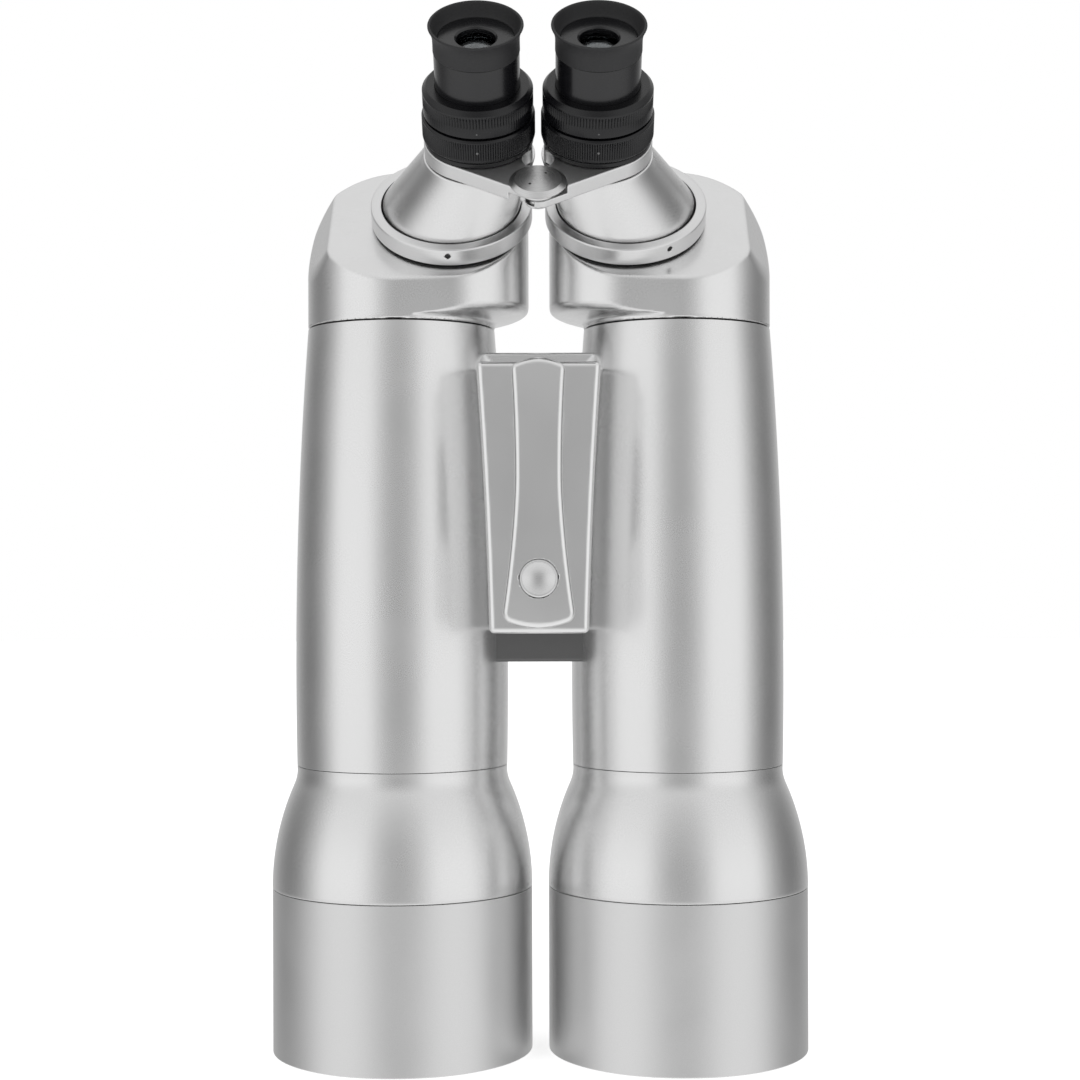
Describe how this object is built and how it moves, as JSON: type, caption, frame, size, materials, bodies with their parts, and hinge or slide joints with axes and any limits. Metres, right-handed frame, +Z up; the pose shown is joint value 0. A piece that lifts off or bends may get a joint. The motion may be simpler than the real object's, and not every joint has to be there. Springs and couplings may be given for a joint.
{
  "type": "binoculars",
  "caption": "Large silver binoculars with angled eyepieces, sliding lens hoods, a linked eye spacing and a carry handle between straight tubes.",
  "frame": {"origin": "on the floor under the middle of the footprint, with the instrument standing on its lens hoods", "axes": "+Z up along the tubes, +X to the right as the user sees the eyepieces, +Y away from the user towards the tripod foot"},
  "size_m": [0.2562, 0.1722, 0.4824],
  "materials": {
    "silver_enamel": "silver-grey metallic enamel, satin gloss",
    "turned_silver": "turned aluminium, fine circular lines, silver anodised",
    "black_anodised": "satin black anodised, knurled where gripped",
    "inner_black": "flat black paint against stray light",
    "rubber": "matte black moulded rubber",
    "felt": "black felt strip",
    "glass": "clear, green-violet anti-reflection coating",
    "prism_glass": "polished optical glass, ground edges",
    "screw_steel": "black oxide",
    "brass": "machined"
  },
  "bodies": {
    "barrels": {"tube_left": "silver_enamel", "tube_right": "silver_enamel", "bell_left": "silver_enamel", "bell_right": "silver_enamel", "objective_cell_left": "inner_black", "objective_cell_right": "inner_black", "crown_lens_left": "glass", "crown_lens_right": "glass", "flint_lens_left": "glass", "flint_lens_right": "glass", "lens_retainer_left": "inner_black", "lens_retainer_right": "inner_black", "lens_spacers": "screw_steel", "tube_baffles": "inner_black", "prism_housing_left": "silver_enamel", "prism_housing_right": "silver_enamel", "prism_shelf_left": "inner_black", "prism_shelf_right": "inner_black", "offset_prism_left": "prism_glass", "offset_prism_right": "prism_glass", "roof_prism_left": "prism_glass", "roof_prism_right": "prism_glass", "turret_ring_left": "turned_silver", "turret_ring_right": "turned_silver", "turret_set_screws": "screw_steel", "bridge": "silver_enamel", "front_block": "silver_enamel", "handle": "silver_enamel", "handle_cap": "turned_silver", "handle_screws": "screw_steel", "tripod_foot": "silver_enamel", "foot_screws": "screw_steel", "thread_bush": "brass"},
    "hood_left": {"hood_left": "silver_enamel", "hood_felt_left": "felt"},
    "turret_left": {"turret_cone_left": "silver_enamel", "eyepiece_neck_left": "black_anodised"},
    "arm_left": {"arm_left": "turned_silver", "pivot_pin": "turned_silver"},
    "focus_left": {"focus_ring_left": "black_anodised"},
    "eyepiece_left": {"eyepiece_collar_left": "black_anodised", "eyepiece_barrel_left": "black_anodised", "eyecup_left": "rubber", "eye_lens_left": "glass", "field_lens_left": "glass"},
    "hood_right": {"hood_right": "silver_enamel", "hood_felt_right": "felt"},
    "turret_right": {"turret_cone_right": "silver_enamel", "eyepiece_neck_right": "black_anodised"},
    "arm_right": {"arm_right": "turned_silver"},
    "focus_right": {"focus_ring_right": "black_anodised"},
    "eyepiece_right": {"eyepiece_collar_right": "black_anodised", "eyepiece_barrel_right": "black_anodised", "eyecup_right": "rubber", "eye_lens_right": "glass", "field_lens_right": "glass"}
  },
  "joints": [
    {"name": "hood_slide_left", "type": "slide", "parent": "barrels", "child": "hood_left", "axis": [0, 0, -1], "range_m": [0, 0.04]},
    {"name": "turret_turn_left", "type": "hinge", "parent": "barrels", "child": "turret_left", "pos_m": [-0.04102, 0.00179, 0.39461], "axis": [0, -0.7071, 0.7071], "range_deg": [0, 65]},
    {"name": "arm_swing_left", "type": "hinge", "parent": "turret_left", "child": "arm_left", "pos_m": [-0.02707, -0.0272, 0.4236], "axis": [0, -0.7071, 0.7071], "range_deg": [-54, 0]},
    {"name": "focus_turn_left", "type": "hinge", "parent": "turret_left", "child": "focus_left", "pos_m": [-0.02707, -0.04064, 0.43704], "axis": [0, -0.7071, 0.7071], "range_deg": [0, 300]},
    {"name": "eyepiece_travel_left", "type": "slide", "parent": "turret_left", "child": "eyepiece_left", "axis": [0, -0.7071, 0.7071], "range_m": [0, 0.005]},
    {"name": "hood_slide_right", "type": "slide", "parent": "barrels", "child": "hood_right", "axis": [0, 0, -1], "range_m": [0, 0.04]},
    {"name": "turret_turn_right", "type": "hinge", "parent": "barrels", "child": "turret_right", "pos_m": [0.04102, 0.00179, 0.39461], "axis": [0, -0.7071, 0.7071], "range_deg": [-65, 0]},
    {"name": "arm_swing_right", "type": "hinge", "parent": "turret_right", "child": "arm_right", "pos_m": [0.02707, -0.0272, 0.4236], "axis": [0, -0.7071, 0.7071], "range_deg": [0, 54]},
    {"name": "focus_turn_right", "type": "hinge", "parent": "turret_right", "child": "focus_right", "pos_m": [0.02707, -0.04064, 0.43704], "axis": [0, -0.7071, 0.7071], "range_deg": [0, 300]},
    {"name": "eyepiece_travel_right", "type": "slide", "parent": "turret_right", "child": "eyepiece_right", "axis": [0, -0.7071, 0.7071], "range_m": [0, 0.005]}
  ],
  "couplings": [
    {"joint": "focus_turn_left", "follows": "eyepiece_travel_left", "rad_per_m": 1047.2},
    {"joint": "focus_turn_right", "follows": "eyepiece_travel_right", "rad_per_m": 1047.2},
    {"joint": "turret_turn_right", "follows": "turret_turn_left", "ratio": -1},
    {"joint": "arm_swing_left", "follows": "turret_turn_left", "ratio": -0.825},
    {"joint": "arm_swing_right", "follows": "turret_turn_left", "ratio": 0.825}
  ]
}
